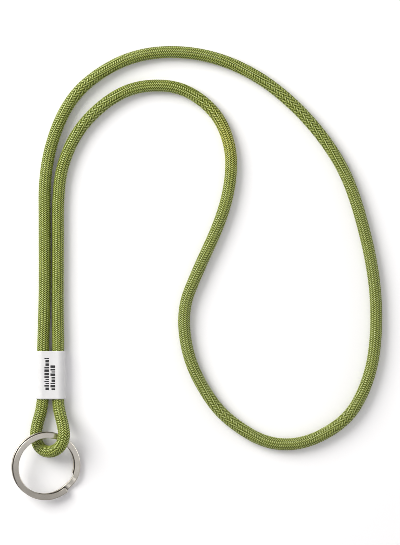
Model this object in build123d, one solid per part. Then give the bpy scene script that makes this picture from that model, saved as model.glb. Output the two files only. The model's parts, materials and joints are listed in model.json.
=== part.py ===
"""Neck lanyard: a round braided cord, folded into one long neck loop and one short ring loop.

A flat-oval shrink sleeve holds the two strands side by side and hides the cord's two sealed ends.
A flat-wire split ring hangs in the short loop.

Frame: the lanyard lies flat on the plane z = 0. +Y runs from the ring towards the neck loop and
+Z is up. The origin is the bottom centre of the box round the sleeve and the ring.
"""

from build123d import *
import math
import os

# Driving dimensions, millimetres and degrees.
CORD_D = 5.35
CORE_D = 3.80
CORE_CLEARANCE = 0.05
FLOOR_CLEARANCE = 0.025

SLEEVE_LENGTH = 20.9
SLEEVE_BOTTOM_Y = 11.5
SLEEVE_CENTRE_X = 1.9
STRAND_SPACING = 6.65
SLEEVE_WALL = 0.38
BORE_CLEARANCE = 0.08
MOUTH_ROUNDING = 0.12

COIL_D = 29.7
COIL_OFFSET = 0.4
WIRE_WIDTH = 2.5
WIRE_THICKNESS = 1.4
WIRE_ROUNDING = 0.4
COIL_GAP = 0.06
RING_CENTRE_Y = -17.45
RING_TILT = 16.0
RING_HIGH_SIDE = 158.0

# The ring's winding, as angles round it from +X, seen from above.
TONGUE_TIP = -50.0
STEP_LOW_END = -48.0
STEP_HIGH_END = -20.0
TONGUE_ROOT = 228.0
END_GAP = 3.0

ADHESIVE_SETBACK = 3.0
ADHESIVE_EDGE = 1.0
ADHESIVE_CLEARANCE = 0.04

SEAL_THICKNESS = 0.8
SEAL_ROUNDING = 0.2
BUTT_Y = 19.5
BUTT_GAP = 0.2

# Derived places.
CORD_R = CORD_D / 2
LEFT_X = SLEEVE_CENTRE_X - STRAND_SPACING / 2
RIGHT_X = SLEEVE_CENTRE_X + STRAND_SPACING / 2
LYING_Z = CORD_R + FLOOR_CLEARANCE
SLEEVE_Z = SLEEVE_WALL + BORE_CLEARANCE + CORD_R
SLEEVE_INNER_HEIGHT = CORD_D + 2 * BORE_CLEARANCE
LOWER_END_Y = BUTT_Y - BUTT_GAP / 2 - SEAL_THICKNESS
UPPER_END_Y = BUTT_Y + BUTT_GAP / 2 + SEAL_THICKNESS

# The cord's route, from its lower sealed end to its upper one.
ROUTE = [
    # Out of the sleeve's right bore, up over the ring, round the short loop and under the ring.
    (RIGHT_X, LOWER_END_Y, SLEEVE_Z),
    (RIGHT_X, 7.4, SLEEVE_Z),
    (8.4, -2.2, 9.8),
    (7.6, -7.5, 9.9),
    (4.0, -11.1, 7.3),
    (-1.0, -11.3, 4.2),
    (-4.1, -8.2, LYING_Z),
    (-4.8, -2.4, LYING_Z),
    # Up through the sleeve's left bore and along the outer strand.
    (LEFT_X, 8.6, SLEEVE_Z),
    (LEFT_X, 33.6, SLEEVE_Z),
    (-0.65, 57.0, LYING_Z),
    (-0.75, 84.0, LYING_Z),
    (-0.85, 112.5, LYING_Z),
    # The neck loop's large bend.
    (7.0, 137.0, LYING_Z),
    (19.5, 151.5, LYING_Z),
    (40.5, 162.2, LYING_Z),
    (66.5, 162.5, LYING_Z),
    (90.5, 153.5, LYING_Z),
    (111.0, 137.0, LYING_Z),
    (127.0, 116.5, LYING_Z),
    (135.5, 96.5, LYING_Z),
    (143.5, 62.5, LYING_Z),
    (143.5, 32.5, LYING_Z),
    (138.0, 13.5, LYING_Z),
    (129.5, 1.0, LYING_Z),
    (112.5, -8.3, LYING_Z),
    (96.0, -8.3, LYING_Z),
    (80.5, 1.0, LYING_Z),
    (71.0, 11.0, LYING_Z),
    # Back in an S towards the outer strand.
    (61.5, 29.0, LYING_Z),
    (59.0, 50.0, LYING_Z),
    (65.5, 66.5, LYING_Z),
    (76.2, 89.5, LYING_Z),
    (80.4, 106.5, LYING_Z),
    (80.4, 121.5, LYING_Z),
    (74.0, 136.5, LYING_Z),
    (59.5, 147.2, LYING_Z),
    (42.5, 148.2, LYING_Z),
    (29.0, 143.2, LYING_Z),
    (15.4, 131.0, LYING_Z),
    (8.3, 117.5, LYING_Z),
    # Down the inner strand and into the sleeve's right bore.
    (5.1, 103.8, LYING_Z),
    (5.0, 77.0, LYING_Z),
    (4.9, 50.0, LYING_Z),
    (RIGHT_X, 34.9, SLEEVE_Z),
    (RIGHT_X, UPPER_END_Y, SLEEVE_Z),
]
ARC_SHARE = 0.45


def arc_radii(points):
    """Radius of the tangent arc at each inner point: as large as its two runs allow."""
    radii = []
    for before, corner, after in zip(points, points[1:], points[2:]):
        run_in = Vector(corner) - Vector(before)
        run_out = Vector(after) - Vector(corner)
        half_turn = math.radians(run_in.get_angle(run_out)) / 2
        shorter = min(run_in.length, run_out.length)
        radii.append(ARC_SHARE * shorter / math.tan(half_turn))
    return radii


def cord_path():
    """The cord's centreline: straight runs joined by tangent arcs."""
    radii = arc_radii(ROUTE)
    print("arc radii", [round(radius, 1) for radius in radii])
    return FilletPolyline(*ROUTE, radius=radii)


def along(path, section):
    """Sweep a section, drawn about its own centre, along the whole path."""
    start = Plane(origin=path @ 0, z_dir=path % 0)
    solid = sweep(start * section, path=path)
    expected = section.area * path.length
    print("swept volume over section times length", round(solid.volume / expected, 4))
    return solid


def cord_sheath(path):
    """The braided cover, as a plain thick-walled tube."""
    return along(path, Circle(CORD_R) - Circle(CORE_D / 2 + CORE_CLEARANCE))


def cord_core(path):
    """The filler yarns inside the cover, as one plain round bundle."""
    return along(path, Circle(CORE_D / 2))


def sealed_end(cut_y, outwards):
    """The melted disc that closes the cord at cut_y; outwards is +1 or -1 along Y."""
    base = Plane(origin=(RIGHT_X, cut_y, SLEEVE_Z), z_dir=(0, outwards, 0))
    disc = extrude(base * Circle(CORD_R), amount=SEAL_THICKNESS)
    free_edge = disc.edges().sort_by(Axis.Y)[-1 if outwards > 0 else 0]
    return fillet(free_edge, SEAL_ROUNDING)


def sleeve_plane(y):
    """A plane across the sleeve at height y, centred between the two bores."""
    return Plane(origin=(SLEEVE_CENTRE_X, y, SLEEVE_Z), x_dir=(1, 0, 0), z_dir=(0, 1, 0))


def shrink_sleeve():
    """A thin flat-oval tube, shrunk round both strands."""
    outer_height = SLEEVE_INNER_HEIGHT + 2 * SLEEVE_WALL
    wall = SlotCenterToCenter(STRAND_SPACING, outer_height) - SlotCenterToCenter(
        STRAND_SPACING, SLEEVE_INNER_HEIGHT
    )
    tube = extrude(sleeve_plane(SLEEVE_BOTTOM_Y) * wall, amount=SLEEVE_LENGTH)
    mouth_edges = tube.edges().filter_by(Axis.Y, reverse=True)
    return fillet(mouth_edges, MOUTH_ROUNDING)


def sleeve_adhesive():
    """The set hot-melt web between the strands, set back from both mouths."""
    web = Rectangle(
        STRAND_SPACING - 2 * ADHESIVE_EDGE,
        SLEEVE_INNER_HEIGHT - 2 * ADHESIVE_CLEARANCE,
    )
    for side in (-1, 1):
        web -= Pos(side * STRAND_SPACING / 2, 0) * Circle(CORD_R + ADHESIVE_CLEARANCE)
    start = sleeve_plane(SLEEVE_BOTTOM_Y + ADHESIVE_SETBACK)
    return extrude(start * web, amount=SLEEVE_LENGTH - 2 * ADHESIVE_SETBACK)


def coil_centre(level):
    """A coil's centre; level is -1 low coil to +1 high coil. They sit a little off each other."""
    high_side = math.radians(RING_HIGH_SIDE)
    towards_high_side = Vector(math.cos(high_side), math.sin(high_side), 0)
    height = level * (WIRE_THICKNESS + COIL_GAP) / 2
    return towards_high_side * (-level * COIL_OFFSET / 2) + Vector(0, 0, height)


def wire_section(angle, level):
    """The flat wire's section at an angle round the ring, on the coil at that level."""
    turn = math.radians(angle)
    outwards = Vector(math.cos(turn), math.sin(turn), 0)
    place = Plane(
        origin=coil_centre(level) + outwards * (COIL_D - WIRE_WIDTH) / 2,
        x_dir=outwards,
        z_dir=(-math.sin(turn), math.cos(turn), 0),
    )
    return place * RectangleRounded(WIRE_WIDTH, WIRE_THICKNESS, WIRE_ROUNDING)


def coil(start, end, level):
    """A flat stretch of the ring's wire, from start to end anticlockwise."""
    return revolve(wire_section(start, level), Axis(coil_centre(level), (0, 0, 1)), end - start)


def step():
    """The stretch where the wire climbs from the low coil to the high one."""
    sections = []
    count = 7
    for index in range(count):
        share = index / (count - 1)
        level = 2 * share * share * (3 - 2 * share) - 1
        angle = STEP_LOW_END + share * (STEP_HIGH_END - STEP_LOW_END)
        sections.append(wire_section(angle, level))
    return loft(sections)


def ring_coil():
    """The ring's wire apart from its free end, in the ring's own frame."""
    low = coil(STEP_HIGH_END + END_GAP - 360, STEP_LOW_END, -1)
    high = coil(STEP_HIGH_END, TONGUE_ROOT, 1)
    return low + step() + high


def ring_tongue():
    """The free end of the ring's wire, which springs open, in the ring's own frame."""
    return coil(TONGUE_ROOT, TONGUE_TIP + 360, 1)


def place_ring(pieces):
    """Tilt the ring up on its high side and stand its lowest point on the floor."""
    high_side = math.radians(RING_HIGH_SIDE)
    tilt_axis = Axis((0, 0, 0), (math.sin(high_side), -math.cos(high_side), 0))
    tilted = {name: piece.rotate(tilt_axis, RING_TILT) for name, piece in pieces.items()}
    lowest = min(piece.bounding_box().min.Z for piece in tilted.values())
    centre = Vector(0, RING_CENTRE_Y, -lowest)
    root = math.radians(TONGUE_ROOT)
    outwards = Vector(math.cos(root), math.sin(root), 0)
    under_high_coil = coil_centre(1) - Vector(0, 0, WIRE_THICKNESS / 2)
    hinge_point = under_high_coil + outwards * (COIL_D / 2)
    hinge_axis = Vector(0, 0, 1).cross(outwards)
    print("ring centre", centre)
    print("ring axis", Vector(0, 0, 1).rotate(tilt_axis, RING_TILT))
    print("tongue hinge point", hinge_point.rotate(tilt_axis, RING_TILT) + centre)
    print("tongue hinge axis", hinge_axis.rotate(tilt_axis, RING_TILT))
    return {name: piece.translate(centre) for name, piece in tilted.items()}


def build():
    """Every node of the lanyard, by name."""
    path = cord_path()
    print("cord length", round(path.length, 1))
    nodes = {
        "cord_sheath": cord_sheath(path),
        "cord_core": cord_core(path),
        "sealed_end_lower": sealed_end(LOWER_END_Y, 1),
        "sealed_end_upper": sealed_end(UPPER_END_Y, -1),
        "shrink_sleeve": shrink_sleeve(),
        "sleeve_adhesive": sleeve_adhesive(),
    }
    nodes.update(place_ring({"ring_coil": ring_coil(), "ring_tongue": ring_tongue()}))
    return nodes


os.makedirs("parts", exist_ok=True)
for node, solid in build().items():
    export_step(solid, f"parts/{node}.step")
    print(node, "volume", round(solid.volume, 2), "box", solid.bounding_box())
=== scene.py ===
"""Looks for the neck lanyard: braided cord, shrink sleeve and split ring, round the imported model.

Metres, in the row frame: +Y runs from the ring towards the neck loop and +Z is up.
"""

import json
import math
import random

import bpy
import numpy as np
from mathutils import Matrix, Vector


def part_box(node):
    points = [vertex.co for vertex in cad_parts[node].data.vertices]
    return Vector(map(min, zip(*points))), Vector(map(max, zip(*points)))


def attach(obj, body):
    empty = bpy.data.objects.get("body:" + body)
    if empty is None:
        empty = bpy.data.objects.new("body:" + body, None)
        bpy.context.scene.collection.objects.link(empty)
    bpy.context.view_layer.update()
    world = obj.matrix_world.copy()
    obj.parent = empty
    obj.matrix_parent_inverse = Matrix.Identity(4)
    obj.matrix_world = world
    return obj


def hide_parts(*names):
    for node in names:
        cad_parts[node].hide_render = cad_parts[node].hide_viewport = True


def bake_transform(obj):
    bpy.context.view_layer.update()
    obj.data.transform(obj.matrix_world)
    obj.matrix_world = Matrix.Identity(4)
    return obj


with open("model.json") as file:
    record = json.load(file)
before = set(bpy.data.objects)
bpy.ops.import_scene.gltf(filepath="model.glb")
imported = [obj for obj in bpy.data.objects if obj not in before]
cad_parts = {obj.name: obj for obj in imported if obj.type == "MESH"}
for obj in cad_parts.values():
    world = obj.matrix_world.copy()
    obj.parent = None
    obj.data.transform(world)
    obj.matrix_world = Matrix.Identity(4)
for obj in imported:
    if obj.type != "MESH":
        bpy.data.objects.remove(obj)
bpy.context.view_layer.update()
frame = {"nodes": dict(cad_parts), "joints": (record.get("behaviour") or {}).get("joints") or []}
joints = {joint["name"]: joint for joint in frame["joints"]}
random.seed(7)

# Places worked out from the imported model.
sleeve_low, sleeve_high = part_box("shrink_sleeve")
lower_end_low, lower_end_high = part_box("sealed_end_lower")
_, upper_end_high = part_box("sealed_end_upper")
CORD_D = lower_end_high.x - lower_end_low.x
CORD_R = CORD_D / 2
SLEEVE_CENTRE = (sleeve_low + sleeve_high) / 2
SLEEVE_Z = SLEEVE_CENTRE.z
RIGHT_X = (lower_end_low.x + lower_end_high.x) / 2
LEFT_X = 2 * SLEEVE_CENTRE.x - RIGHT_X
LOWER_END_Y = lower_end_low.y
UPPER_END_Y = upper_end_high.y
LYING_Z = CORD_R + 0.000025

# The cord's route, the same points as the CAD tube's, with two more inside the sleeve's bores.
ROUTE = [
    # Out of the sleeve's right bore, up over the ring, round the short loop and under the ring.
    (RIGHT_X, LOWER_END_Y, SLEEVE_Z),
    (RIGHT_X, 0.0130, SLEEVE_Z),
    (RIGHT_X, 0.0074, SLEEVE_Z),
    (0.0084, -0.0022, 0.0098),
    (0.0076, -0.0075, 0.0099),
    (0.0040, -0.0111, 0.0073),
    (-0.0010, -0.0113, 0.0042),
    (-0.0041, -0.0082, LYING_Z),
    (-0.0048, -0.0024, LYING_Z),
    # Up through the sleeve's left bore and along the outer strand.
    (LEFT_X, 0.0086, SLEEVE_Z),
    (LEFT_X, 0.0201, SLEEVE_Z),
    (LEFT_X, 0.0336, SLEEVE_Z),
    (-0.00065, 0.0570, LYING_Z),
    (-0.00075, 0.0840, LYING_Z),
    (-0.00085, 0.1125, LYING_Z),
    # The neck loop's large bend.
    (0.0070, 0.1370, LYING_Z),
    (0.0195, 0.1515, LYING_Z),
    (0.0405, 0.1622, LYING_Z),
    (0.0665, 0.1625, LYING_Z),
    (0.0905, 0.1535, LYING_Z),
    (0.1110, 0.1370, LYING_Z),
    (0.1270, 0.1165, LYING_Z),
    (0.1355, 0.0965, LYING_Z),
    (0.1435, 0.0625, LYING_Z),
    (0.1435, 0.0325, LYING_Z),
    (0.1380, 0.0135, LYING_Z),
    (0.1295, 0.0010, LYING_Z),
    (0.1125, -0.0083, LYING_Z),
    (0.0960, -0.0083, LYING_Z),
    (0.0805, 0.0010, LYING_Z),
    (0.0710, 0.0110, LYING_Z),
    # Back in an S towards the outer strand.
    (0.0615, 0.0290, LYING_Z),
    (0.0590, 0.0500, LYING_Z),
    (0.0655, 0.0665, LYING_Z),
    (0.0762, 0.0895, LYING_Z),
    (0.0804, 0.1065, LYING_Z),
    (0.0804, 0.1215, LYING_Z),
    (0.0740, 0.1365, LYING_Z),
    (0.0595, 0.1472, LYING_Z),
    (0.0425, 0.1482, LYING_Z),
    (0.0290, 0.1432, LYING_Z),
    (0.0154, 0.1310, LYING_Z),
    (0.0083, 0.1175, LYING_Z),
    # Down the inner strand and into the sleeve's right bore.
    (0.0051, 0.1038, LYING_Z),
    (0.0050, 0.0770, LYING_Z),
    (0.0049, 0.0500, LYING_Z),
    (RIGHT_X, 0.0349, SLEEVE_Z),
    (RIGHT_X, UPPER_END_Y, SLEEVE_Z),
]

# The braid.
YARNS_EACH_HAND = 12
BRAID_PITCH = 0.0107
YARN_STEP = 0.00022
YARN_THICKNESS = 0.00048
YARN_FILL = 0.94
YARN_SECTION_POINTS = 8
WEAVE_DEPTH = 0.00020
BRAID_MID_R = CORD_R - YARN_THICKNESS / 2 - WEAVE_DEPTH
WEAVE_SHARPNESS = 1.5
YARN_START_JITTER = 0.012
TIGHTEST_CROWDING = 0.35
WIDEST_SPREADING = 1.7
CORE_R = 0.00206
CORE_STEP = 0.001
CORE_SECTION_POINTS = 20

# The dye is a little uneven, and a short stretch of the cord has faded yellower than the rest.
BLOTCH_TINT = (1.12, 1.08, 0.80)
FADED_PLACE = (0.0786, 0.1250, LYING_Z)
FADED_REACH = 0.014
FADED_TINT = (1.42, 1.23, 1.06)

# From the right side of the neck loop to its inner bend the braid's colour is mixed towards a flat olive,
# which weakens its streaks and its painted crease and dip shade.
EVENED_FROM = (0.1180, 0.1280, LYING_Z)
EVENED_TO = (0.0800, 0.1130, LYING_Z)
EVENED_FADE = 0.030
EVENED_SHARE = 0.30
EVENED_OLIVE = (0.205, 0.235, 0.060)

# The ring, as in the CAD: angles in degrees round it, and metres.
COIL_D = 0.0297
COIL_OFFSET = 0.0004
WIRE_WIDTH = 0.0025
WIRE_THICKNESS = 0.0014
WIRE_ROUNDING = 0.0004
COIL_GAP = 0.00006
LOW_COIL_START = -377.0
STEP_LOW_END = -48.0
STEP_HIGH_END = -20.0
SPRING_ROOT = 228.0
SPRING_TIP = 310.0
SPRING_BEND_REACH = 275.0
WIRE_STEP = 1.5
WIRE_MID_R = (COIL_D - WIRE_WIDTH) / 2
WIRE_END_TAPER = 0.0003
# The wire's size at shares of the taper in from its end.
WIRE_END_SIZES = ((0.0, 0.72), (0.3, 0.90), (1.0, 1.0))
CORNER_STEPS = 4
FLAT_POINTS = (0.45, 0.0, -0.45)
SHARP_EDGE = 42.0
MILLIMETRES = 1000
RING_CENTRE = Vector(joints["ring_turn"]["pos_m"])
RING_AXIS = Vector(joints["ring_turn"]["axis"]).normalized()
HIGH_DIRECTION = -Vector((RING_AXIS.x, RING_AXIS.y, 0)).normalized()
HIGH_SIDE = math.degrees(math.atan2(HIGH_DIRECTION.y, HIGH_DIRECTION.x))

# The direction in which the ring is painted darker, with painted light on the opposite side, and the wire's
# walls as shares of half its width.
SHADED_SIDE = (-0.42, -0.91)
WALL_FROM = 0.80
WALL_FADE = 0.18

# The painted shade in the seam between the coils: how near the other coil it starts, as shares of half the
# wire's thickness.
SEAM_FROM = 0.35
SEAM_FADE = 0.4
SEAM_SPREAD = 1.33
SEAM_SIDE_STRENGTH = 1.5
# How far past the other coil's edge it reaches, and over how many degrees it fades beside the wire's tip.
SEAM_REACH = 0.00030
NOTCH = 6.0
ROUNDING_SLACK = 0.000001

# The picture: straight down, as wide and tall as the photograph's own frame.
VIEW_HEIGHT = 0.23708
VIEW_CENTRE = (0.06684, 0.06645, LYING_Z)
VIEW_DISTANCE = 1.0
SENSOR = 36.0


def turn_towards(eye, target):
    """The turn of a lamp at eye that looks at target."""
    return (Vector(target) - Vector(eye)).to_track_quat("-Z", "Y").to_euler()


def camera():
    """A long lens straight above the lanyard."""
    data = bpy.data.cameras.new("camera")
    data.sensor_width = SENSOR
    data.lens = SENSOR * VIEW_DISTANCE / VIEW_HEIGHT
    data.clip_end = 10
    item = bpy.data.objects.new("camera", data)
    item.location = Vector(VIEW_CENTRE) + Vector((0, 0, VIEW_DISTANCE))
    bpy.context.collection.objects.link(item)
    bpy.context.scene.camera = item


def spline_points():
    """Points read from a smooth spline with the route as its control points."""
    data = bpy.data.curves.new("cord_line", "CURVE")
    data.dimensions = "3D"
    data.resolution_u = 32
    spline = data.splines.new("NURBS")
    spline.points.add(len(ROUTE) - 1)
    for point, place in zip(spline.points, ROUTE):
        point.co = (*place, 1)
    spline.order_u = 3
    spline.use_endpoint_u = True
    guide = bpy.data.objects.new("cord_line", data)
    mesh = bpy.data.meshes.new_from_object(guide)
    points = np.array([vertex.co for vertex in mesh.vertices])
    bpy.data.objects.remove(guide)
    return points


def respaced(points, step):
    """The same line with its points evenly spaced, and each point's distance along it."""
    lengths = np.concatenate([[0], np.cumsum(np.linalg.norm(np.diff(points, axis=0), axis=1))])
    along = np.linspace(0, lengths[-1], int(lengths[-1] / step) + 1)
    even = np.stack([np.interp(along, lengths, points[:, axis]) for axis in range(3)], axis=1)
    return even, along


def unit(vectors):
    """Each row made one long."""
    return vectors / np.linalg.norm(vectors, axis=-1, keepdims=True)


def carried_frames(points):
    """Tangent, up and side at each point, carried along the line without added twist."""
    tangents = unit(np.gradient(points, axis=0))
    ups = np.empty_like(points)
    up = np.array([0.0, 0.0, 1.0])
    for index, tangent in enumerate(tangents):
        up = up - tangent * (up @ tangent)
        up /= math.sqrt(up @ up)
        ups[index] = up
    return tangents, ups, np.cross(tangents, ups)


def swept_mesh(name, strands):
    """One mesh of closed tubes, each given as (stations, section points, 3)."""
    places = []
    loops = []
    starts = []
    first = 0
    filled = 0
    for strand in strands:
        stations, around, _ = strand.shape
        grid = np.arange(stations * around).reshape(stations, around) + first
        following = np.roll(grid, -1, axis=1)
        quads = np.stack([grid[:-1], following[:-1], following[1:], grid[1:]], axis=-1).reshape(-1, 4)
        places.append(strand.reshape(-1, 3))
        loops += [quads.ravel(), grid[0][::-1], grid[-1]]
        starts.append(filled + 4 * np.arange(len(quads)))
        filled += quads.size
        starts.append(np.array([filled, filled + around]))
        filled += 2 * around
        first += stations * around
    mesh = bpy.data.meshes.new(name)
    mesh.vertices.add(first)
    mesh.vertices.foreach_set("co", np.concatenate(places).astype(np.float32).ravel())
    mesh.loops.add(filled)
    mesh.loops.foreach_set("vertex_index", np.concatenate(loops).astype(np.int32))
    polygon_starts = np.concatenate(starts).astype(np.int32)
    mesh.polygons.add(len(polygon_starts))
    mesh.polygons.foreach_set("loop_start", polygon_starts)
    mesh.update(calc_edges=True)
    mesh.validate()
    mesh.shade_smooth()
    return mesh


def point_value(mesh, name, values):
    """A number at each vertex, for the material to read."""
    attribute = mesh.attributes.new(name, "FLOAT", "POINT")
    attribute.data.foreach_set("value", np.asarray(values, np.float32).ravel())


def new_piece(name, mesh, body, material):
    """An object for the mesh that rides on a body and shows a material."""
    mesh.materials.append(material)
    piece = bpy.data.objects.new(name, mesh)
    bpy.context.collection.objects.link(piece)
    if body:
        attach(piece, body)
    return piece


# Materials.


def new_material(name, roughness, metallic=0.0):
    """A node material with one main shader; returns the material, its nodes and the shader."""
    material = bpy.data.materials.new(name)
    material.use_nodes = True
    tree = material.node_tree
    tree.nodes.clear()
    output = tree.nodes.new("ShaderNodeOutputMaterial")
    shader = tree.nodes.new("ShaderNodeBsdfPrincipled")
    shader.inputs["Roughness"].default_value = roughness
    shader.inputs["Metallic"].default_value = metallic
    tree.links.new(shader.outputs["BSDF"], output.inputs["Surface"])
    return material, tree, shader


def link(tree, source, target):
    """Joins an output socket to an input socket."""
    tree.links.new(source, target)


def feed(tree, values, sockets):
    """Sets each input socket to its number, or joins it to its output socket."""
    for value, socket in zip(values, sockets):
        if isinstance(value, (int, float)):
            socket.default_value = value
        else:
            link(tree, value, socket)


def attribute(tree, name):
    """The number that a piece's vertices carry under that name."""
    item = tree.nodes.new("ShaderNodeAttribute")
    item.attribute_name = name
    return item.outputs["Fac"]


def math_node(tree, operation, *values):
    """The sum, product or other result of one or two sockets or numbers."""
    item = tree.nodes.new("ShaderNodeMath")
    item.operation = operation
    feed(tree, values, item.inputs)
    return item.outputs[0]


def attribute_place(tree, *factors):
    """A place for a noise whose axes are vertex attributes, each times its factor."""
    item = tree.nodes.new("ShaderNodeCombineXYZ")
    axes = [math_node(tree, "MULTIPLY", attribute(tree, name), factor) for name, factor in factors]
    feed(tree, axes, item.inputs)
    return item.outputs[0]


def object_place(tree):
    """The point's place on its own piece."""
    return tree.nodes.new("ShaderNodeTexCoord").outputs["Object"]


def noise(tree, place, scale, detail=2.0, roughness=0.5):
    """A grey noise at that place, from 0 to 1."""
    item = tree.nodes.new("ShaderNodeTexNoise")
    item.inputs["Scale"].default_value = scale
    item.inputs["Detail"].default_value = detail
    item.inputs["Roughness"].default_value = roughness
    link(tree, place, item.inputs["Vector"])
    return item.outputs["Fac"]


def ramp(tree, value, stops):
    """A colour for each value; stops are (position, (r, g, b))."""
    item = tree.nodes.new("ShaderNodeValToRGB")
    elements = item.color_ramp.elements
    while len(elements) < len(stops):
        elements.new(0.5)
    for element, (position, colour) in zip(elements, stops):
        element.position = position
        element.color = (*colour, 1)
    link(tree, value, item.inputs["Fac"])
    return item.outputs["Color"]


def spread(tree, value, low, high, from_low=0.0, from_high=1.0):
    """The value moved from one range to another."""
    item = tree.nodes.new("ShaderNodeMapRange")
    item.inputs["From Min"].default_value = from_low
    item.inputs["From Max"].default_value = from_high
    item.inputs["To Min"].default_value = low
    item.inputs["To Max"].default_value = high
    link(tree, value, item.inputs["Value"])
    return item.outputs["Result"]


def mixed(tree, share, first, second, blend="MIX"):
    """Two colours mixed; each is a socket or (r, g, b)."""
    item = tree.nodes.new("ShaderNodeMix")
    item.data_type = "RGBA"
    item.blend_type = blend
    feed(tree, [share], [item.inputs["Factor"]])
    for key, value in (("A", first), ("B", second)):
        socket = [s for s in item.inputs if s.name == key and s.type == "RGBA"][0]
        if isinstance(value, tuple):
            socket.default_value = (*value, 1)
        else:
            link(tree, value, socket)
    return [s for s in item.outputs if s.type == "RGBA"][0]


def product(tree, first, second):
    """Two colours multiplied; each is a socket or (r, g, b)."""
    return mixed(tree, 1.0, first, second, "MULTIPLY")


def bump(tree, shader, height, distance, strength=1.0):
    """Fine relief on the shader from a grey height."""
    item = tree.nodes.new("ShaderNodeBump")
    item.inputs["Distance"].default_value = distance
    item.inputs["Strength"].default_value = strength
    link(tree, height, item.inputs["Height"])
    link(tree, item.outputs["Normal"], shader.inputs["Normal"])


def yarn_material():
    """Olive polyester filament yarn: fine lengthwise streaks, with painted shade where it dips under the
    others and towards its edges.
    """
    material, tree, shader = new_material("braid_yarn", roughness=0.5)
    streak_place = attribute_place(tree, ("across", 3.2), ("along", 500.0), ("tint", 40.0))
    streaks = noise(tree, streak_place, 1.6, detail=3.0, roughness=0.6)
    blotches = noise(tree, object_place(tree), 70.0)
    lit = ramp(
        tree,
        streaks,
        [(0.28, (0.20, 0.242, 0.034)), (0.52, (0.335, 0.392, 0.073)), (0.75, (0.57, 0.640, 0.205))],
    )
    edge = math_node(tree, "ABSOLUTE", attribute(tree, "across"))
    # Painted shade in the creases along each yarn's edges.
    crease_shade = ramp(tree, edge, [(0.40, (1.0, 1.0, 1.0)), (0.92, (0.34, 0.38, 0.17))])
    # Painted shade where a yarn dips under the other hand's yarns.
    dip_shade = ramp(
        tree,
        attribute(tree, "lift"),
        [(0.15, (0.020, 0.025, 0.007)), (0.60, (0.17, 0.20, 0.10)), (0.97, (1.0, 1.0, 1.0))],
    )
    crease_and_dip_shaded = product(tree, product(tree, lit, crease_shade), dip_shade)
    # Over one stretch of the loop the colour, with its painted shade, is mixed towards a flat olive.
    shaded = mixed(tree, attribute(tree, "shade_evened"), crease_and_dip_shaded, EVENED_OLIVE)
    blotched_share = spread(tree, blotches, 0.0, 0.35, 0.3, 0.7)
    tinted = mixed(tree, blotched_share, shaded, product(tree, shaded, BLOTCH_TINT))
    faded = mixed(tree, attribute(tree, "faded"), tinted, product(tree, tinted, FADED_TINT))
    link(tree, faded, shader.inputs["Base Color"])
    link(tree, spread(tree, streaks, 0.40, 0.24), shader.inputs["Roughness"])
    crowns = spread(tree, attribute(tree, "lift"), 0.0, 1.8, 0.55, 0.98)
    ridges = spread(tree, edge, 1.0, 0.0, 0.25, 0.75)
    link(tree, math_node(tree, "MULTIPLY", crowns, ridges), shader.inputs["Specular IOR Level"])
    shader.inputs["Specular Tint"].default_value = (0.95, 1.0, 0.80, 1)
    bump(tree, shader, streaks, 0.00009, 0.9)
    return material


def core_shade_material():
    """The filler yarns, coloured near-black as painted shade where they show as specks between the braid's
    yarns.
    """
    material, tree, shader = new_material("core_yarn", roughness=0.9)
    shader.inputs["Specular IOR Level"].default_value = 0.1
    specks = noise(tree, object_place(tree), 2600.0)
    # Near-black, so the gaps between the braid's yarns show painted shade.
    colour = ramp(tree, specks, [(0.35, (0.020, 0.025, 0.008)), (0.7, (0.060, 0.072, 0.022))])
    link(tree, colour, shader.inputs["Base Color"])
    bump(tree, shader, specks, 0.0002)
    return material


def melted_material():
    """Cord ends cut hot: dark, glassy and lumpy."""
    material, tree, shader = new_material("melted_cord", roughness=0.3)
    lumps = noise(tree, object_place(tree), 900.0, detail=3.0)
    colour = ramp(tree, lumps, [(0.3, (0.020, 0.026, 0.008)), (0.7, (0.075, 0.090, 0.028))])
    link(tree, colour, shader.inputs["Base Color"])
    link(tree, spread(tree, lumps, 0.2, 0.5), shader.inputs["Roughness"])
    bump(tree, shader, lumps, 0.0003)
    return material


def adhesive_material():
    """Set hot-melt: amber, cloudy and soft-edged."""
    material, tree, shader = new_material("hot_melt", roughness=0.35)
    cloud = noise(tree, object_place(tree), 500.0, detail=3.0)
    colour = ramp(tree, cloud, [(0.3, (0.62, 0.56, 0.38)), (0.7, (0.80, 0.76, 0.60))])
    link(tree, colour, shader.inputs["Base Color"])
    link(tree, spread(tree, cloud, 0.25, 0.45), shader.inputs["Roughness"])
    shader.inputs["Subsurface Weight"].default_value = 0.2
    shader.inputs["Subsurface Radius"].default_value = (0.002, 0.0015, 0.001)
    bump(tree, shader, cloud, 0.0002)
    return material


def sleeve_material():
    """White shrink tube: satin, faintly mottled, with light scuffs."""
    material, tree, shader = new_material("sleeve_plastic", roughness=0.42)
    place = object_place(tree)
    mottle = noise(tree, place, 260.0, detail=3.0)
    grain = noise(tree, place, 3800.0, detail=1.0)
    colour = ramp(tree, mottle, [(0.3, (0.655, 0.655, 0.655)), (0.7, (0.70, 0.70, 0.695))])
    link(tree, colour, shader.inputs["Base Color"])
    link(tree, spread(tree, mottle, 0.36, 0.50), shader.inputs["Roughness"])
    shader.inputs["Subsurface Weight"].default_value = 0.12
    shader.inputs["Subsurface Radius"].default_value = (0.0012, 0.0012, 0.0012)
    bump(tree, shader, grain, 0.00002, 0.5)
    return material


def print_material():
    """Dark grey pad-printed ink, worn a little thin."""
    material, tree, shader = new_material("sleeve_print", roughness=0.5)
    wear = noise(tree, object_place(tree), 2400.0, detail=3.0)
    colour = ramp(tree, wear, [(0.50, (0.010, 0.010, 0.012)), (0.90, (0.060, 0.060, 0.064))])
    link(tree, colour, shader.inputs["Base Color"])
    link(tree, spread(tree, wear, 0.4, 0.6), shader.inputs["Roughness"])
    return material


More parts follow.
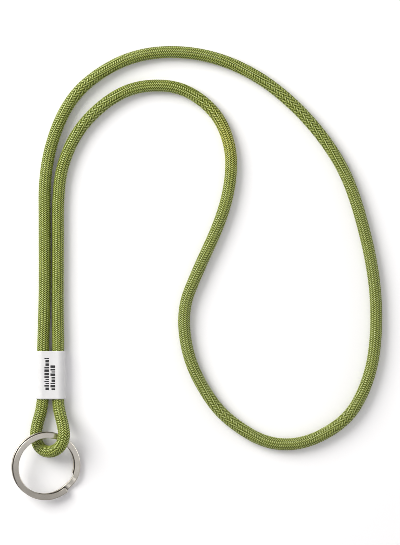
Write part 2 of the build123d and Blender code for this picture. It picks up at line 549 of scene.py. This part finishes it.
def nickel_material():
    """Bright nickel on spring wire: fine marks, rubbed patches and rougher rubbed edges, with painted shade
    on the walls and in the seam between the coils, and one side of the ring painted darker and the other
    lighter.
    """
    material, tree, shader = new_material("nickel_plate", roughness=0.2, metallic=1.0)
    mark_place = attribute_place(tree, ("around", 14.0), ("along", 90.0))
    marks = noise(tree, mark_place, 2.0, detail=4.0, roughness=0.65)
    patch_place = attribute_place(tree, ("around", 0.26), ("along", 260.0))
    patches = noise(tree, patch_place, 1.0, detail=2.0)
    face = ramp(tree, patches, [(0.3, (0.670, 0.648, 0.578)), (0.7, (0.745, 0.720, 0.645))])
    # Painted shade: the wire's walls are darker.
    wall_shade = ramp(tree, attribute(tree, "wall"), [(0.25, (1.0, 1.0, 1.0)), (0.85, (0.88, 0.86, 0.84))])
    # Painted shade in the seam between the coils and at the notch beside the wire's tip.
    painted_seam = ramp(tree, attribute(tree, "painted_seam"), [(0.10, (1.0, 1.0, 1.0)), (0.85, (0.10, 0.09, 0.08))])
    # Painted shade and light: one side of the ring darker, the other lighter.
    side_shade = ramp(
        tree,
        attribute(tree, "side_shade_share"),
        [(0.35, (1.07, 1.06, 1.05)), (0.62, (0.88, 0.865, 0.85)), (0.90, (0.71, 0.695, 0.68))],
    )
    walled = product(tree, product(tree, face, side_shade), wall_shade)
    link(tree, product(tree, walled, painted_seam), shader.inputs["Base Color"])
    mark_wear = spread(tree, marks, 0.13, 0.20, 0.3, 0.7)
    patch_wear = spread(tree, patches, 0.0, 0.06, 0.4, 0.7)
    edge_wear = spread(tree, attribute(tree, "wall"), 0.0, 0.30, 0.0, 0.6)
    face_wear = math_node(tree, "ADD", mark_wear, patch_wear)
    link(tree, math_node(tree, "ADD", face_wear, edge_wear), shader.inputs["Roughness"])
    bump(tree, shader, marks, 0.00001, 0.12)
    return material


def table_material():
    """Plain white paper under the lanyard."""
    material, tree, shader = new_material("table", roughness=0.8)
    tone = noise(tree, object_place(tree), 12.0)
    colour = ramp(tree, tone, [(0.3, (0.915, 0.915, 0.915)), (0.7, (0.925, 0.925, 0.925))])
    link(tree, colour, shader.inputs["Base Color"])
    return material


# The cord.


def weave(angle):
    """How far over the other hand's yarns a yarn runs at an angle round the cord, from -1 to 1.

    It is over for two crossings and then under for two, with 12 yarns each hand.
    """
    quarter_shift = math.pi / YARNS_EACH_HAND / 2
    wave = np.cos(YARNS_EACH_HAND / 2 * (angle - quarter_shift))
    return np.tanh(WEAVE_SHARPNESS * wave) / math.tanh(WEAVE_SHARPNESS)


def yarn(line, hand, start):
    """One yarn's sections, and at each vertex its lift and place across; hand is +1 or -1."""
    points, along, ups, sides, bends = line
    angle = start + hand * 2 * math.pi * along / BRAID_PITCH
    over = hand * weave(angle)
    radius = BRAID_MID_R + WEAVE_DEPTH * over
    radial = np.cos(angle)[:, None] * ups + np.sin(angle)[:, None] * sides
    centre = points + radial * radius[:, None]
    heading = unit(np.gradient(centre, axis=0))
    outward = unit(radial - heading * np.sum(radial * heading, axis=1, keepdims=True))
    across = np.cross(heading, outward)
    crowding = 1 - radius * np.sum(bends * radial, axis=1)
    crowding = np.clip(crowding, TIGHTEST_CROWDING, WIDEST_SPREADING)
    girth = 2 * math.pi * radius
    steepness = girth / np.hypot(girth, BRAID_PITCH * crowding)
    width = BRAID_PITCH / YARNS_EACH_HAND * crowding * steepness * YARN_FILL
    turn = 2 * math.pi * np.arange(YARN_SECTION_POINTS) / YARN_SECTION_POINTS
    sections = (
        centre[:, None, :]
        + across[:, None, :] * (width[:, None, None] / 2 * np.cos(turn)[None, :, None])
        + outward[:, None, :] * (YARN_THICKNESS / 2 * np.sin(turn)[None, :, None])
    )
    lift = np.repeat((over + 1) / 2, YARN_SECTION_POINTS)
    place_across = np.tile(np.cos(turn), len(points))
    return sections, lift, place_across


def along_at(points, along, place):
    """The distance along the line at its nearest point to a place."""
    return along[np.argmin(np.linalg.norm(points - np.array(place), axis=1))]


def braid(points, along, material):
    """The cover: 12 pieces, each a left-hand yarn and a right-hand yarn."""
    tangents, ups, sides = carried_frames(points)
    bends = np.gradient(tangents, along, axis=0)
    line = (points, along, ups, sides, bends)
    faded = np.exp(-(((along - along_at(points, along, FADED_PLACE)) / FADED_REACH) ** 2))
    # The stretch where the colour and its painted shade are mixed towards a flat olive.
    evened_in = np.clip((along - along_at(points, along, EVENED_FROM)) / EVENED_FADE, 0, 1)
    evened_out = np.clip((along_at(points, along, EVENED_TO) - along) / EVENED_FADE, 0, 1)
    shade_evened = EVENED_SHARE * evened_in * evened_out
    pieces = []
    for number in range(YARNS_EACH_HAND):
        start = 2 * math.pi * number / YARNS_EACH_HAND
        made = []
        for hand in (1, -1):
            jitter = random.uniform(-YARN_START_JITTER, YARN_START_JITTER)
            made.append(yarn(line, hand, start + jitter))
        name = f"braid_yarns_{number + 1:02d}"
        mesh = swept_mesh(name, [sections for sections, _, _ in made])
        per_strand = len(points) * YARN_SECTION_POINTS
        point_value(mesh, "lift", np.concatenate([lift for _, lift, _ in made]))
        point_value(mesh, "across", np.concatenate([across for _, _, across in made]))
        point_value(mesh, "along", np.tile(np.repeat(along, YARN_SECTION_POINTS), 2))
        tints = [random.random() for _ in made]
        point_value(mesh, "tint", np.repeat(tints, per_strand))
        point_value(mesh, "faded", np.tile(np.repeat(faded, YARN_SECTION_POINTS), 2))
        point_value(mesh, "shade_evened", np.tile(np.repeat(shade_evened, YARN_SECTION_POINTS), 2))
        piece = new_piece(name, mesh, "lanyard", material)
        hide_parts("cord_sheath")
        pieces.append(piece)
    return pieces


def tube_sections(points, radius, around):
    """Round sections of one radius along a line."""
    _, ups, sides = carried_frames(points)
    turn = 2 * math.pi * np.arange(around) / around
    return (
        points[:, None, :]
        + ups[:, None, :] * (radius * np.cos(turn))[None, :, None]
        + sides[:, None, :] * (radius * np.sin(turn))[None, :, None]
    )


def cord():
    """The whole cord: the core, and the braid over it."""
    drawn = spline_points()
    core_points, _ = respaced(drawn, CORE_STEP)
    fine_points, fine_along = respaced(drawn, YARN_STEP)
    sections = tube_sections(core_points, CORE_R, CORE_SECTION_POINTS)
    mesh = swept_mesh("cord_core_bundle", [sections])
    core = new_piece("cord_core_bundle", mesh, "lanyard", core_shade_material())
    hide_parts("cord_core")
    pieces = braid(fine_points, fine_along, yarn_material())


# The sleeve.
SLEEVE_AROUND = 128
SLEEVE_STATIONS = 72
SLEEVE_WALL = 0.00038
SLEEVE_LIP = 0.00014
SLEEVE_LIP_ANGLES = (30, 60, 90)
SLEEVE_DIP = 0.00016
DIP_WAVINESS = 0.25
DIP_WAVE_RATES = (520, 210)
DIP_WAVE_START = 0.7
PRINT_LIFT = 0.00003
PRINT_THICKNESS = 0.00006
BAR_THICKNESSES = (0.00050, 0.00075, 0.00110)
BAR_GAP = 0.00038
BAR_INSETS = (0.0, 0.0, 0.0, 0.00045)
BAR_CORNER = 0.00012
BAR_CORNER_STEPS = 3
# Each line of print: its two edges across the sleeve, then its two ends along it.
PRINT_LINES = (
    (-0.00062, 0.00135, 0.01550, 0.02900),
    (0.00200, 0.00405, 0.01550, 0.02570),
)


def stadium(share, half_height, straight):
    """A point on a flat-oval outline and its outward direction; share runs from 0 to 1 round it."""
    curve = math.pi * half_height
    total = 2 * straight + 2 * curve
    place = (share % 1) * total
    if place < straight:
        return Vector((straight / 2 - place, half_height)), Vector((0, 1))
    place -= straight
    if place < curve:
        turn = math.pi / 2 + place / half_height
        out = Vector((math.cos(turn), math.sin(turn)))
        return Vector((-straight / 2, 0)) + out * half_height, out
    place -= curve
    if place < straight:
        return Vector((place - straight / 2, -half_height)), Vector((0, -1))
    place -= straight
    turn = -math.pi / 2 + place / half_height
    out = Vector((math.cos(turn), math.sin(turn)))
    return Vector((straight / 2, 0)) + out * half_height, out


def sleeve_dip(x, y):
    """How far the tube sinks between the strands: most at mid-width, a little unevenly along it."""
    straight = RIGHT_X - LEFT_X
    sideways = max(0.0, 1 - (2 * x / straight) ** 2)
    quick, slow = DIP_WAVE_RATES
    wave = math.sin(quick * y + DIP_WAVE_START) * math.cos(slow * y)
    return SLEEVE_DIP * sideways * (1 - DIP_WAVINESS + DIP_WAVINESS * wave)


def sleeve():
    """The shrink tube: wall with rounded lips, drawn in a little between the two strands."""
    half_height = (sleeve_high.z - sleeve_low.z) / 2
    straight = RIGHT_X - LEFT_X
    length = sleeve_high.y - sleeve_low.y
    profile = []
    for index in range(SLEEVE_STATIONS + 1):
        profile.append((SLEEVE_LIP + (length - 2 * SLEEVE_LIP) * index / SLEEVE_STATIONS, 0.0))
    lip_start = length - SLEEVE_LIP
    outer = []
    inner = []
    for turn in np.radians(SLEEVE_LIP_ANGLES):
        reach = lip_start + SLEEVE_LIP * math.sin(turn)
        drop = SLEEVE_LIP * (1 - math.cos(turn))
        outer.append((reach, drop))
        inner.insert(0, (reach, SLEEVE_WALL - drop))
    top = profile + outer + inner
    bottom = [(length - y, inset) for y, inset in outer + inner]
    back = [(y, SLEEVE_WALL) for y, _ in reversed(profile)]
    outline = top + back + bottom
    sections = np.empty((len(outline), SLEEVE_AROUND, 3))
    for station, (y, inset) in enumerate(outline):
        for index in range(SLEEVE_AROUND):
            flat, out = stadium(index / SLEEVE_AROUND, half_height, straight)
            flat = flat - out * inset
            dip = sleeve_dip(flat.x, y) * abs(out.y) * (1 if out.y > 0 else -1)
            sections[station, index] = (
                SLEEVE_CENTRE.x + flat.x,
                sleeve_low.y + y,
                SLEEVE_CENTRE.z + flat.y - dip,
            )
    mesh = ring_of_sections("sleeve_tube", sections)
    piece = new_piece("sleeve_tube", mesh, "lanyard", sleeve_material())
    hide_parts("shrink_sleeve")


def ring_of_sections(name, sections):
    """A mesh from sections that join up in a ring, last to first, so it needs no caps."""
    stations, around, _ = sections.shape
    grid = np.arange(stations * around).reshape(stations, around)
    beside = np.roll(grid, -1, axis=1)
    corners = (grid, beside, np.roll(beside, -1, axis=0), np.roll(grid, -1, axis=0))
    faces = np.stack(corners, axis=-1).reshape(-1, 4)
    mesh = bpy.data.meshes.new(name)
    mesh.from_pydata(sections.reshape(-1, 3).tolist(), [], faces.tolist())
    mesh.validate()
    mesh.shade_smooth()
    return mesh


def print_bar(x_low, x_high, y, thickness):
    """The outline of one rounded bar across a print line."""
    radius = BAR_CORNER
    outline = []
    corners = (
        (x_high - radius, y - thickness / 2 + radius, -90),
        (x_high - radius, y + thickness / 2 - radius, 0),
        (x_low + radius, y + thickness / 2 - radius, 90),
        (x_low + radius, y - thickness / 2 + radius, 180),
    )
    for centre_x, centre_y, first in corners:
        for step in range(BAR_CORNER_STEPS + 1):
            turn = math.radians(first + 90 / BAR_CORNER_STEPS * step)
            outline.append((centre_x + radius * math.cos(turn), centre_y + radius * math.sin(turn)))
    return outline


def printing():
    """Two lines of plain rounded bars printed on the sleeve, in place of the maker's print."""
    vertices = []
    faces = []
    for x_low, x_high, y_low, y_high in PRINT_LINES:
        y_filled = y_low
        while y_filled < y_high:
            thickness = random.choice(BAR_THICKNESSES)
            inset = random.choice(BAR_INSETS)
            outline = print_bar(x_low + inset, x_high, y_filled + thickness / 2, thickness)
            y_filled += thickness + BAR_GAP
            first = len(vertices)
            for level in (0, 1):
                for x, along in outline:
                    dip = sleeve_dip(x - SLEEVE_CENTRE.x, along - sleeve_low.y)
                    top = sleeve_high.z - dip - PRINT_THICKNESS + PRINT_LIFT
                    vertices.append((x, along, top + level * PRINT_THICKNESS))
            size = len(outline)
            faces.append([first + size + index for index in range(size)])
            faces.append([first + index for index in reversed(range(size))])
            for index in range(size):
                here = first + index
                ahead = first + (index + 1) % size
                faces.append([here, ahead, ahead + size, here + size])
    mesh = bpy.data.meshes.new("sleeve_print")
    mesh.from_pydata(vertices, [], faces)
    mesh.validate()
    new_piece("sleeve_print", mesh, "lanyard", print_material())


# The ring.


def wire_outline():
    """The flat wire's rounded section, as points (outwards, up)."""
    outline = []
    for side_x, side_y, first in ((1, 1, 0), (-1, 1, 90), (-1, -1, 180), (1, -1, 270)):
        for step in range(CORNER_STEPS + 1):
            turn = math.radians(first + 90 / CORNER_STEPS * step)
            x = side_x * (WIRE_WIDTH / 2 - WIRE_ROUNDING) + WIRE_ROUNDING * math.cos(turn)
            y = side_y * (WIRE_THICKNESS / 2 - WIRE_ROUNDING) + WIRE_ROUNDING * math.sin(turn)
            outline.append((x, y))
        if side_x == side_y:
            for share in FLAT_POINTS:
                outline.append((side_y * share * WIRE_WIDTH / 2, side_y * WIRE_THICKNESS / 2))
    return np.array(outline)


def coil_level(angle):
    """-1 on the low coil, 1 on the high coil, and a smooth step between."""
    share = np.clip((angle - STEP_LOW_END) / (STEP_HIGH_END - STEP_LOW_END), 0, 1)
    return 2 * share * share * (3 - 2 * share) - 1


def wire_sections(start, end, round_start, round_end):
    """The wire's sections from start to end, in the row frame, with eased ends where asked."""
    tilt = Vector((0, 0, 1)).rotation_difference(RING_AXIS)
    outline = wire_outline()
    eased = math.degrees(WIRE_END_TAPER / WIRE_MID_R)
    count = int(round((end - start) / WIRE_STEP))
    stations = [(start + (end - start) * index / count, 1.0) for index in range(count + 1)]
    if round_start:
        stations[:1] = [(start + eased * share, size) for share, size in WIRE_END_SIZES]
    if round_end:
        stations[-1:] = [(end - eased * share, size) for share, size in reversed(WIRE_END_SIZES)]
    sections = np.empty((len(stations), len(outline), 3))
    for index, (angle, size) in enumerate(stations):
        turn = math.radians(angle)
        level = coil_level(angle)
        height = level * (WIRE_THICKNESS + COIL_GAP) / 2
        out = np.array([math.cos(turn), math.sin(turn), 0.0])
        shrink = (WIRE_THICKNESS / 2) * (1 - size)
        across = outline[:, 0] * (1 - shrink / (WIRE_WIDTH / 2))
        up = outline[:, 1] * size
        flat = out[None, :] * (WIRE_MID_R + across)[:, None]
        flat -= np.array(HIGH_DIRECTION) * level * COIL_OFFSET / 2
        flat[:, 2] = height + up
        sections[index] = [tilt @ Vector(point) + RING_CENTRE for point in flat]
    return sections, np.radians([angle for angle, _ in stations]) * WIRE_MID_R


def seam_shade(degrees, outline):
    """How much painted shade each vertex gets in the corner between the two coils and beside the wire's tip,
    from 0 to 1.
    """
    level = coil_level(degrees)[:, None]
    high_coil = np.clip(level, 0, 1)
    side = np.sign(outline[None, :, 0])
    open_side = np.cos(np.radians(HIGH_SIDE - degrees[:, None])) * side
    towards_other = -level * outline[None, :, 1] / (WIRE_THICKNESS / 2)
    first_dark = SEAM_FROM - SEAM_SPREAD * high_coil * np.clip(SEAM_SIDE_STRENGTH * open_side, 0, 1)
    inwards = WIRE_WIDTH / 2 - np.abs(outline[None, :, 0])
    from_corner = -level * COIL_OFFSET * open_side - inwards
    cover = np.clip(1 - from_corner / SEAM_REACH, 0, 1)
    past_tip = degrees[:, None] - (SPRING_TIP - 360)
    beside_tip = np.where(past_tip > 0, np.clip(1 - past_tip / NOTCH, 0, 1), 1.0)
    wall = np.where(level > 0, inwards < WIRE_ROUNDING + ROUNDING_SLACK, True)
    notched = np.where(degrees[:, None] < STEP_HIGH_END, beside_tip, 1.0)
    return np.clip((towards_other - first_dark) / SEAM_FADE, 0, 1) * cover * wall * notched


def wire_piece(name, start, end, round_start, round_end, body, material):
    """One stretch of the ring's wire as a piece."""
    sections, along = wire_sections(start, end, round_start, round_end)
    around = sections.shape[1]
    outline = wire_outline()
    mesh = swept_mesh(name, [sections])
    point_value(mesh, "along", np.repeat(along, around))
    point_value(mesh, "around", np.tile(outline[:, 0] * MILLIMETRES, len(along)))
    outer_face = np.abs(outline[:, 0]) / (WIRE_WIDTH / 2)
    wall = np.clip((outer_face - WALL_FROM) / WALL_FADE, 0, 1)
    point_value(mesh, "wall", np.tile(wall, len(along)))
    # Painted shade in the seam between the coils and beside the wire's tip.
    point_value(mesh, "painted_seam", seam_shade(np.degrees(along / WIRE_MID_R), outline))
    # Painted shade and light across the ring: darker towards one side, lighter towards the other.
    from_centre = sections - np.array(RING_CENTRE)
    towards_shaded_side = from_centre[:, :, 0] * SHADED_SIDE[0] + from_centre[:, :, 1] * SHADED_SIDE[1]
    point_value(mesh, "side_shade_share", np.clip(0.5 + towards_shaded_side / COIL_D, 0, 1))
    mesh.set_sharp_from_angle(angle=math.radians(SHARP_EDGE))
    return new_piece(name, mesh, body, material)


def row_point(angle):
    """A point on the ring's mid line at an angle round it, in the row frame."""
    sections, _ = wire_sections(angle, angle + WIRE_STEP, False, False)
    return Vector(sections[0].mean(axis=0))


def split_ring():
    """The ring's one wire, in the stretch that stays and the free end."""
    material = nickel_material()
    wire = wire_piece("ring_wire", LOW_COIL_START, SPRING_ROOT, True, False, "split_ring", material)
    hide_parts("ring_coil")
    spring = wire_piece("ring_spring_end", SPRING_ROOT, SPRING_TIP, False, True, None, material)
    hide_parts("ring_tongue")
    row_point(SPRING_ROOT)
    row_point(SPRING_BEND_REACH)
    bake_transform(spring)


# The set.
TABLE_HALF = 4.0
TABLE_STEPS = 8
TABLE_Z = -0.00002
SURROUND_STRENGTH = 0.75
PIXEL_FILTER = 0.8
WHITE = (1.0, 1.0, 1.0)


def table():
    """A wide plain sheet under everything, with a hair of room below the lanyard."""
    mesh = bpy.data.meshes.new("table")
    row = TABLE_STEPS + 1
    vertices = []
    faces = []
    for j in range(row):
        for i in range(row):
            x = VIEW_CENTRE[0] + TABLE_HALF * (2 * i / TABLE_STEPS - 1)
            y = VIEW_CENTRE[1] + TABLE_HALF * (2 * j / TABLE_STEPS - 1)
            vertices.append((x, y, TABLE_Z))
            if i < TABLE_STEPS and j < TABLE_STEPS:
                corner = j * row + i
                faces.append((corner, corner + 1, corner + row + 1, corner + row))
    mesh.from_pydata(vertices, [], faces)
    mesh.materials.append(table_material())
    item = bpy.data.objects.new("table", mesh)
    bpy.context.collection.objects.link(item)


def lamp(name, direction, distance, size, power, colour):
    """A soft round lamp that looks at the middle of the picture."""
    data = bpy.data.lights.new(name, "AREA")
    data.shape = "DISK"
    data.size = size
    data.energy = power
    data.color = colour
    item = bpy.data.objects.new(name, data)
    eye = Vector(VIEW_CENTRE) + Vector(direction).normalized() * distance
    item.location = eye
    item.rotation_euler = turn_towards(eye, VIEW_CENTRE)
    bpy.context.collection.objects.link(item)


def studio():
    """A soft key from the upper left, a low fill from the right and a faint glint for the ring.

    The surround is bright overhead and darker low down.
    """
    lamp("key", (-0.72, 0.48, 0.62), distance=1.3, size=1.0, power=20.3, colour=(1.0, 0.99, 0.965))
    lamp("fill", (0.95, 0.08, 0.30), distance=1.9, size=1.0, power=7.0, colour=(0.99, 0.985, 1.0))
    lamp("glint", (0.147, -0.662, 0.73), distance=1.3, size=0.30, power=0.15, colour=WHITE)
    world = bpy.data.worlds.new("surround")
    bpy.context.scene.world = world
    world.use_nodes = True
    tree = world.node_tree
    background = tree.nodes["Background"]
    place = tree.nodes.new("ShaderNodeTexCoord").outputs["Generated"]
    parts = tree.nodes.new("ShaderNodeSeparateXYZ")
    link(tree, place, parts.inputs[0])
    colour = ramp(
        tree,
        parts.outputs["Z"],
        [
            (0.0, (0.10, 0.098, 0.102)),
            (0.25, (0.30, 0.293, 0.303)),
            (0.6, (0.72, 0.705, 0.725)),
            (1.0, (0.92, 0.905, 0.925)),
        ],
    )
    link(tree, colour, background.inputs["Color"])
    background.inputs["Strength"].default_value = SURROUND_STRENGTH
    bpy.context.scene.view_settings.view_transform = "Standard"
    # A narrow pixel filter and an untouched denoising guide keep the braid's fine stitches.
    bpy.context.scene.cycles.filter_width = PIXEL_FILTER
    bpy.context.scene.cycles.denoising_prefilter = "NONE"


def cad_finishes():
    """Materials for the CAD solids that stay."""
    finishes = {
        "sealed_end_lower": melted_material(),
        "sealed_end_upper": melted_material(),
        "sleeve_adhesive": adhesive_material(),
    }
    for node, material in finishes.items():
        mesh = frame["nodes"][node].data
        mesh.materials.clear()
        mesh.materials.append(material)


camera()
cord()
sleeve()
printing()
split_ring()
cad_finishes()
table()
studio()

bpy.context.view_layer.update()
